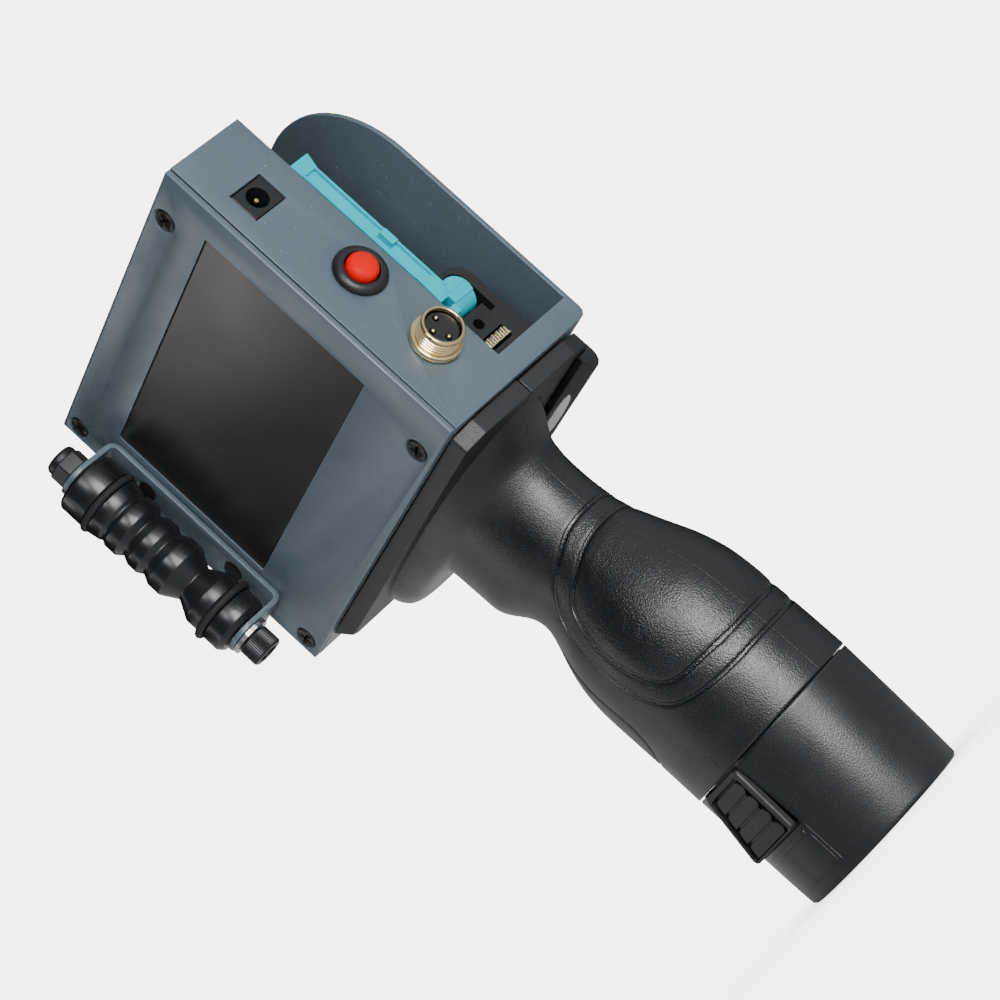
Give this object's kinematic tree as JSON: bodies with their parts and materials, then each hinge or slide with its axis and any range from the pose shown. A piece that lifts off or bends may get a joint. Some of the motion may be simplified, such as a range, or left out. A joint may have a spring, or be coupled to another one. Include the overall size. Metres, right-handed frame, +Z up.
{
  "type": "handheld inkjet date printer",
  "caption": "Handheld inkjet coder: boxed head with side screen, open cartridge bay and guide roller on a waisted pistol grip with trigger and clip-in battery foot.",
  "frame": {"origin": "on the battery foot's flat underside, on the handle's and trigger's middle plane and 2 mm towards the print face from the underside's centre", "axes": "+Z up the handle to the head; -X the print face and the trigger; +X the palm side and the sockets; -Y the screen; +Y the plain side plate"},
  "size_m": [0.132, 0.0814, 0.243],
  "materials": {
    "chassis_paint": "satin textured powder coat",
    "black_plastic": "fine texture",
    "handle_plastic": "fine spark-eroded texture",
    "soft_grip": "soft-touch overmould, leather grain",
    "screen_glass": "smooth dark screen cover",
    "display": "display stack in a thin tray",
    "circuit_board": "glass-epoxy board",
    "teal_plastic": "moulded, semi-gloss",
    "red_plastic": "polished dome",
    "rubber": "matte",
    "roller_plastic": "turned, semi-gloss",
    "nickel": "nickel-plated brass, pale gold tint",
    "gold": "gold-plated",
    "steel": "zinc-plated",
    "black_steel": "black oxide",
    "spring_steel": "bright wire",
    "cell_wrap": "plastic-sleeved cell",
    "blank_inlay": "blank pale inlay"
  },
  "bodies": {
    "printer": {"axle_nut": "black_steel", "axle_screw": "black_steel", "axle_washer": "steel", "bracket_screw_1": "black_steel", "bracket_screw_2": "black_steel", "button_bezel": "black_plastic", "button_nut": "steel", "button_spring": "spring_steel", "button_switch": "black_plastic", "chassis_shell": "chassis_paint", "connector_insert": "black_plastic", "connector_nut": "nickel", "connector_pin_1": "gold", "connector_pin_2": "gold", "connector_pin_3": "gold", "connector_shell": "nickel", "contact_board": "gold", "dc_jack": "black_plastic", "dc_jack_pin": "nickel", "finger_pad": "soft_grip", "handle_left": "handle_plastic", "handle_right": "handle_plastic", "handle_screw_1": "black_steel", "handle_screw_2": "black_steel", "handle_screw_3": "black_steel", "latch_pin": "steel", "lcd_glass": "screen_glass", "lcd_module": "display", "main_board": "circuit_board", "mount_screw_1": "black_steel", "mount_screw_2": "black_steel", "mount_screw_3": "black_steel", "mount_screw_4": "black_steel", "palm_pad": "soft_grip", "pen_stall": "black_plastic", "plate_screw_1": "black_steel", "plate_screw_2": "black_steel", "plate_screw_3": "black_steel", "plate_screw_4": "black_steel", "rail_inlay": "blank_inlay", "roller_bracket": "chassis_paint", "screen_plate": "chassis_paint", "trigger_spring": "spring_steel", "trigger_switch": "black_plastic", "underside_rail": "black_plastic"},
    "roller": {"roller_body": "roller_plastic", "o_ring_upper": "rubber", "o_ring_lower": "rubber"},
    "start_button": {"button_cap": "red_plastic"},
    "trigger": {"trigger": "black_plastic"},
    "cartridge_latch": {"stall_latch": "teal_plastic"},
    "battery": {"battery_housing": "handle_plastic", "battery_cell_1": "cell_wrap", "battery_cell_2": "cell_wrap", "battery_cell_3": "cell_wrap", "battery_contacts": "black_plastic", "latch_spring_left": "spring_steel", "latch_spring_right": "spring_steel"},
    "release_left": {"battery_latch_left": "black_plastic"},
    "release_right": {"battery_latch_right": "black_plastic"}
  },
  "joints": [
    {"name": "roller_spin", "type": "hinge", "parent": "printer", "child": "roller", "pos_m": [-0.0742, -0.041, 0.193], "axis": [0, 0, 1], "continuous": true},
    {"name": "button_press", "type": "slide", "parent": "printer", "child": "start_button", "axis": [-1, 0, 0], "range_m": [0, 0.0015], "stiffness_N_per_m": 600, "springref_m": -0.0015, "deforming": ["button_spring"]},
    {"name": "trigger_pull", "type": "slide", "parent": "printer", "child": "trigger", "axis": [1, 0, 0], "range_m": [0, 0.003], "stiffness_N_per_m": 800, "springref_m": -0.003, "deforming": ["trigger_spring"]},
    {"name": "latch_swing", "type": "hinge", "parent": "printer", "child": "cartridge_latch", "pos_m": [0.0335, 0.0065, 0.1715], "axis": [0, 1, 0], "range_deg": [0, 95]},
    {"name": "battery_slide", "type": "slide", "parent": "printer", "child": "battery", "axis": [0, 0, -1], "range_m": [0, 0.045]},
    {"name": "release_left_press", "type": "slide", "parent": "battery", "child": "release_left", "axis": [0, 1, 0], "range_m": [0, 0.0015], "stiffness_N_per_m": 500, "springref_m": -0.0015, "deforming": ["latch_spring_left"]},
    {"name": "release_right_press", "type": "slide", "parent": "battery", "child": "release_right", "axis": [0, -1, 0], "range_m": [0, 0.0015], "stiffness_N_per_m": 500, "springref_m": -0.0015, "deforming": ["latch_spring_right"]}
  ]
}
